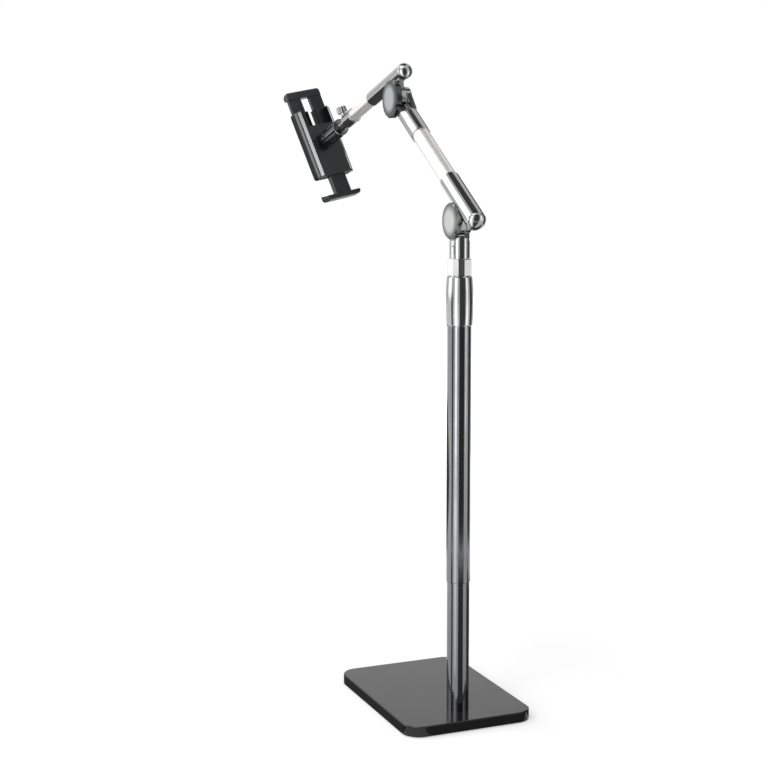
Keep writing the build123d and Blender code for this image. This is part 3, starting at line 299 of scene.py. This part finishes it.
mouldedLooks = {
    "glossBlack": {"color": (0.014, 0.014, 0.015), "shade": 0.8, "roughness": 0.13, "haze": 0.07,
                   "ior": 1.5, "specular": 0.34, "grain": 0.02, "grainScale": 900.0, "dust": 0.35},
    "satinBlack": {"color": (0.028, 0.029, 0.031), "shade": 0.8, "roughness": 0.4, "haze": 0.1,
                   "ior": 1.5, "specular": 0.4, "grain": 0.12, "grainScale": 2400.0, "dust": 0.15},
    "deepBlack": {"color": (0.008, 0.0085, 0.0095), "shade": 0.8, "roughness": 0.42, "haze": 0.1,
                  "ior": 1.5, "specular": 0.13, "grain": 0.1, "grainScale": 2400.0, "dust": 0.15},
    "railBlack": {"color": (0.015, 0.019, 0.0205), "shade": 0.8, "roughness": 0.27, "haze": 0.1,
                  "ior": 1.5, "specular": 0.5, "grain": 0.05, "grainScale": 2600.0, "dust": 0.1},
    "softRubber": {"color": (0.014, 0.014, 0.015), "shade": 0.7, "roughness": 0.75, "haze": 0.12,
                   "ior": 1.48, "specular": 0.35, "grain": 0.3, "grainScale": 1500.0, "dust": 0.3},
    "nylon": {"color": (0.74, 0.73, 0.7), "shade": 0.94, "roughness": 0.45, "haze": 0.08,
              "ior": 1.53, "specular": 0.5, "grain": 0.1, "grainScale": 1400.0, "dust": 0.0},
}
materials = {name: platedMetal(name, look) for name, look in metalLooks.items()}
materials.update({name: moulded(name, look) for name, look in mouldedLooks.items()})
print("materials built:", len(materials))

# which finish each part of the frame has
finishes = {
    "glossBlack": ["base_cover"],
    "satinBlack": ["base_bottom", "mid_plate", "holder_cover", "slide_bush", "pole_plug", "sync_pinion"],
    "deepBlack": ["holder_shell", "ball_mount"],
    "railBlack": ["upper_jaw", "lower_jaw"],
    "softRubber": ["rubber_feet", "front_pad", "upper_jaw_pad", "lower_jaw_pad"],
    "nylon": ["pole_collet", "swivel_bush", "friction_washer_a", "friction_washer_b"],
    "gunmetalChrome": ["lower_pole", "outer_tube", "pole_socket", "pole_coupler", "wrist_spindle"],
    "knobGrey": ["knob_a"],
    "knobBlack": ["knob_b"],
    "blackNickel": ["ball_nut"],
    "darkChrome": ["height_collar", "swivel_head", "arm1_lower_fitting", "arm1_upper_fitting",
                   "arm2_near_fitting", "arm2_far_fitting", "ball_stud", "thumb_screw"],
    "brightChrome": ["inner_pole", "swivel_ring"],
    "bevelChrome": ["bevel_strips"],
    "stripChrome": ["side_strips"],
    "silverTube": ["arm1_tube", "arm2_tube"],
    "capSilver": ["knob_cap_a"],
    "capGrey": ["knob_cap_b"],
    "zincSteel": ["anchor_washer", "anchor_bolt", "base_screws", "hinge_bolt_a", "hinge_bolt_b",
                  "knob_washer_a", "knob_washer_b", "holder_screws", "jaw_spring"],
    "castIron": ["ballast_plate"],
}
for finish, names in finishes.items():
    for name in names:
        slots = nodes[name].data.materials
        slots.clear()
        slots.append(materials[finish])
dressed = sum(len(names) for names in finishes.values())
print("finishes assigned:", dressed, "of", len(nodes))

# floor, seen pale by the camera and in reflections, and brighter further out
floorLook = {
    "size": 14.0,
    "color": (0.82, 0.82, 0.82),
    "roughness": 0.9,
    "specular": 0.1,
    "nearGlow": 0.42,
    "farGlow": 1.0,
    "fadeStart": 0.3,
    "fadeEnd": 2.2,
}
floorMesh = bpy.data.meshes.new("studioFloor")
floor = bpy.data.objects.new("studioFloor", floorMesh)
scene.collection.objects.link(floor)
shape = bmesh.new()
bmesh.ops.create_grid(shape, x_segments=1, y_segments=1, size=floorLook["size"] / 2)
shape.to_mesh(floorMesh)
shape.free()


# a glow that changes with the distance from the frame's origin
def reachFade(tree, look):
    place = addNode(tree, "ShaderNodeTexCoord")
    reach = addNode(tree, "ShaderNodeVectorMath", operation="LENGTH")
    fade = addNode(tree, "ShaderNodeMapRange", From_Min=look["fadeStart"], From_Max=look["fadeEnd"],
                   To_Min=look["nearGlow"], To_Max=look["farGlow"])
    tree.links.new(place.outputs["Object"], reach.inputs[0])
    tree.links.new(reach.outputs["Value"], fade.inputs["Value"])
    return fade.outputs["Result"]


# a rough surface for the studio, which may glow white
def studioMaterial(name, color, roughness, specular, glow):
    material, tree, shader = newMaterial(name)
    shader.inputs["Base Color"].default_value = (*color, 1.0)
    shader.inputs["Roughness"].default_value = roughness
    shader.inputs["Specular IOR Level"].default_value = specular
    shader.inputs["Emission Color"].default_value = white
    shader.inputs["Emission Strength"].default_value = glow
    return material, tree, shader


floorMaterial, floorTree, floorShader = studioMaterial(
    "paleFloor", floorLook["color"], floorLook["roughness"], floorLook["specular"], 0.0)
floorRays = addNode(floorTree, "ShaderNodeLightPath")
floorSeen = addNode(floorTree, "ShaderNodeMath", operation="MAXIMUM")
floorGlow = addNode(floorTree, "ShaderNodeMath", operation="MULTIPLY")
floorTree.links.new(floorRays.outputs["Is Camera Ray"], floorSeen.inputs[0])
floorTree.links.new(floorRays.outputs["Is Glossy Ray"], floorSeen.inputs[1])
floorTree.links.new(floorSeen.outputs["Value"], floorGlow.inputs[0])
floorTree.links.new(reachFade(floorTree, floorLook), floorGlow.inputs[1])
floorTree.links.new(floorGlow.outputs["Value"], floorShader.inputs["Emission Strength"])
floorMesh.materials.append(floorMaterial)

# background: white to the camera and in reflections, a plain soft light to all else
skyLook = {"light": 0.42, "seen": 1.0}
world = bpy.data.worlds.new("paleStudio")
scene.world = world
world.use_nodes = True
sky = world.node_tree
skyBackground = sky.nodes["Background"]
skyBackground.inputs["Color"].default_value = white
skyRays = addNode(sky, "ShaderNodeLightPath")
seenOrGloss = addNode(sky, "ShaderNodeMath", operation="MAXIMUM")
seenAtAll = addNode(sky, "ShaderNodeMath", operation="MAXIMUM")
skyLevel = addNode(sky, "ShaderNodeMapRange", To_Min=skyLook["light"], To_Max=skyLook["seen"])
sky.links.new(skyRays.outputs["Is Camera Ray"], seenOrGloss.inputs[0])
sky.links.new(skyRays.outputs["Is Glossy Ray"], seenOrGloss.inputs[1])
sky.links.new(seenOrGloss.outputs["Value"], seenAtAll.inputs[0])
sky.links.new(skyRays.outputs["Is Transmission Ray"], seenAtAll.inputs[1])
sky.links.new(seenAtAll.outputs["Value"], skyLevel.inputs["Value"])
sky.links.new(skyLevel.outputs["Result"], skyBackground.inputs["Strength"])
print("floor and background built")

# panels stand round the pole: turn is from the way towards the camera, positive to the right, and rise
# is the angle above the aimed height
poleY = 0.08
backFromView = {"x": 0.3754, "y": 0.9175}
viewTurn = math.atan2(backFromView["y"], backFromView["x"])
panels = [
    {"name": "keySoftbox", "turn": -31.0, "rise": 10.0, "far": 1.5,
     "wide": 0.52, "tall": 1.62, "glow": 3.3, "aim": 0.56},
    {"name": "rightSoftbox", "turn": 66.0, "rise": 2.0, "far": 2.5,
     "wide": 0.5, "tall": 1.6, "glow": 1.8, "aim": 0.55},
    {"name": "leftSoftbox", "turn": -92.0, "rise": 3.0, "far": 2.6,
     "wide": 1.7, "tall": 1.0, "glow": 2.2, "aim": 0.82},
    {"name": "backSoftbox", "turn": -113.0, "rise": 32.0, "far": 2.2,
     "wide": 0.9, "tall": 1.7, "glow": 2.0, "aim": 0.75},
    {"name": "topSoftbox", "turn": -40.0, "rise": 66.0, "far": 1.9,
     "wide": 1.2, "tall": 1.0, "glow": 2.0, "aim": 0.6},
    {"name": "frontFlag", "turn": 24.0, "rise": 0.0, "far": 0.95,
     "wide": 0.92, "tall": 1.9, "glow": 0.0, "aim": 0.955},
    {"name": "leftFlag", "turn": -66.0, "rise": 0.0, "far": 1.0,
     "wide": 0.28, "tall": 0.56, "glow": 0.0, "aim": 0.285},
    {"name": "rightFlag", "turn": 112.0, "rise": 0.0, "far": 1.0,
     "wide": 0.7, "tall": 1.9, "glow": 0.0, "aim": 0.955},
    {"name": "edgeFlag", "turn": 158.0, "rise": 4.0, "far": 1.6,
     "wide": 0.7, "tall": 1.5, "glow": 0.0, "aim": 0.7},
    {"name": "roofFlag", "turn": 180.0, "rise": 76.0, "far": 1.25,
     "wide": 0.95, "tall": 0.8, "glow": 0.0, "aim": 0.78},
]
clothLook = {"color": (0.02, 0.02, 0.02), "roughness": 1.0, "specular": 0.0, "glow": 0.08}
flagMaterial = studioMaterial(
    "flagCloth", clothLook["color"], clothLook["roughness"], clothLook["specular"], clothLook["glow"])[0]

# a pale card on the floor that lights the lower pole's streak, stronger further out
glowCard = {"turns": (-42, -20), "near": 0.22, "far": 1.48, "height": 0.0009}
cardLook = {
    "color": (0.8, 0.8, 0.8),
    "roughness": 1.0,
    "specular": 0.0,
    "nearGlow": 1.1,
    "farGlow": 2.4,
    "fadeStart": glowCard["near"],
    "fadeEnd": glowCard["far"],
}
cardMaterial, cardTree, cardShader = studioMaterial(
    "glowCard", cardLook["color"], cardLook["roughness"], cardLook["specular"], 0.0)
cardTree.links.new(reachFade(cardTree, cardLook), cardShader.inputs["Emission Strength"])


# a cloth or card that only polished metal and plastic show
def addFlag(name, corners, material=flagMaterial):
    mesh = bpy.data.meshes.new(name)
    sheet = bmesh.new()
    sheet.faces.new([sheet.verts.new(corner) for corner in corners])
    sheet.to_mesh(mesh)
    sheet.free()
    mesh.materials.append(material)
    flag = bpy.data.objects.new(name, mesh)
    scene.collection.objects.link(flag)
    flag.visible_camera = False
    flag.visible_diffuse = False
    flag.visible_shadow = False


def addLamp(panel, standing):
    light = bpy.data.lights.new(panel["name"], "AREA")
    light.shape = "RECTANGLE"
    light.size = panel["wide"]
    light.size_y = panel["tall"]
    light.energy = panel["glow"] * math.pi * panel["wide"] * panel["tall"]
    lamp = bpy.data.objects.new(panel["name"], light)
    scene.collection.objects.link(lamp)
    lamp.matrix_world = standing
    lamp.visible_camera = False


def turnedWay(turn, rise=0.0):
    angle = viewTurn + math.radians(turn)
    tilt = math.radians(rise)
    return Vector((math.cos(angle) * math.cos(tilt), math.sin(angle) * math.cos(tilt), math.sin(tilt)))


for panel in panels:
    away = turnedWay(panel["turn"], panel["rise"])
    place = Vector((0.0, poleY, panel["aim"])) + away * panel["far"]
    standing = Matrix.Translation(place) @ (-away).to_track_quat("-Z", "Y").to_matrix().to_4x4()
    if panel["glow"]:
        addLamp(panel, standing)
    else:
        halfWide, halfTall = panel["wide"] / 2, panel["tall"] / 2
        around = ((-halfWide, -halfTall), (halfWide, -halfTall), (halfWide, halfTall), (-halfWide, halfTall))
        addFlag(panel["name"], [standing @ Vector((across, up, 0.0)) for across, up in around])

# cloths on the floor, so that the foot of the pole and the base's sides stay dark
floorCloths = {"height": 0.001, "near": 0.02, "far": 0.95, "turns": [(-2, 50), (-75, -58), (92, 176)]}
flatCloths = {
    "sideCloth": {"xs": (0.093, 0.15), "ys": (-0.18, 0.105), "height": 0.0012},
    "frontCloth": {"xs": (-0.15, 0.06), "ys": (0.131, 0.185), "height": 0.0012},
    "backCloth": {"xs": (-0.9, 1.5), "ys": (-2.9, -0.85), "height": 0.001},
}


def wedgeCorners(turns, wedge):
    foot = Vector((0.0, poleY, wedge["height"]))
    first, last = [turnedWay(turn) for turn in turns]
    near, far = wedge["near"], wedge["far"]
    return [foot + first * near, foot + first * far, foot + last * far, foot + last * near]


def flatCorners(sheet):
    (left, right), (back, front), height = sheet["xs"], sheet["ys"], sheet["height"]
    return [(left, back, height), (right, back, height), (right, front, height), (left, front, height)]


for number, turns in enumerate(floorCloths["turns"]):
    addFlag(f"floorCloth{number}", wedgeCorners(turns, floorCloths))
addFlag("glowCard", wedgeCorners(glowCard["turns"], glowCard), cardMaterial)
for name, sheet in flatCloths.items():
    addFlag(name, flatCorners(sheet))
print("studio lit:", len(panels), "panels and", len(floorCloths["turns"]) + len(flatCloths), "floor cloths")

# camera where the photograph was taken from
cameraView = {
    "place": (0.8325, 1.8549, 0.7176),
    "right": (-0.9254, 0.3789, -0.0019),
    "up": (-0.0515, -0.1209, 0.9913),
    "lens": 70.31,
    "sensor": 36.0,
}
cameraData = bpy.data.cameras.new("photoCamera")
cameraData.lens = cameraView["lens"]
cameraData.sensor_width = cameraView["sensor"]
cameraData.sensor_fit = "HORIZONTAL"
camera = bpy.data.objects.new("photoCamera", cameraData)
scene.collection.objects.link(camera)
rightWay = Vector(cameraView["right"]).normalized()
upWay = Vector(cameraView["up"])
upWay = (upWay - rightWay * upWay.dot(rightWay)).normalized()
backWay = rightWay.cross(upWay)
turned = Matrix((rightWay, upWay, backWay)).transposed().to_4x4()
camera.matrix_world = Matrix.Translation(cameraView["place"]) @ turned
scene.camera = camera
scene.view_settings.view_transform = "Standard"
print("camera placed")
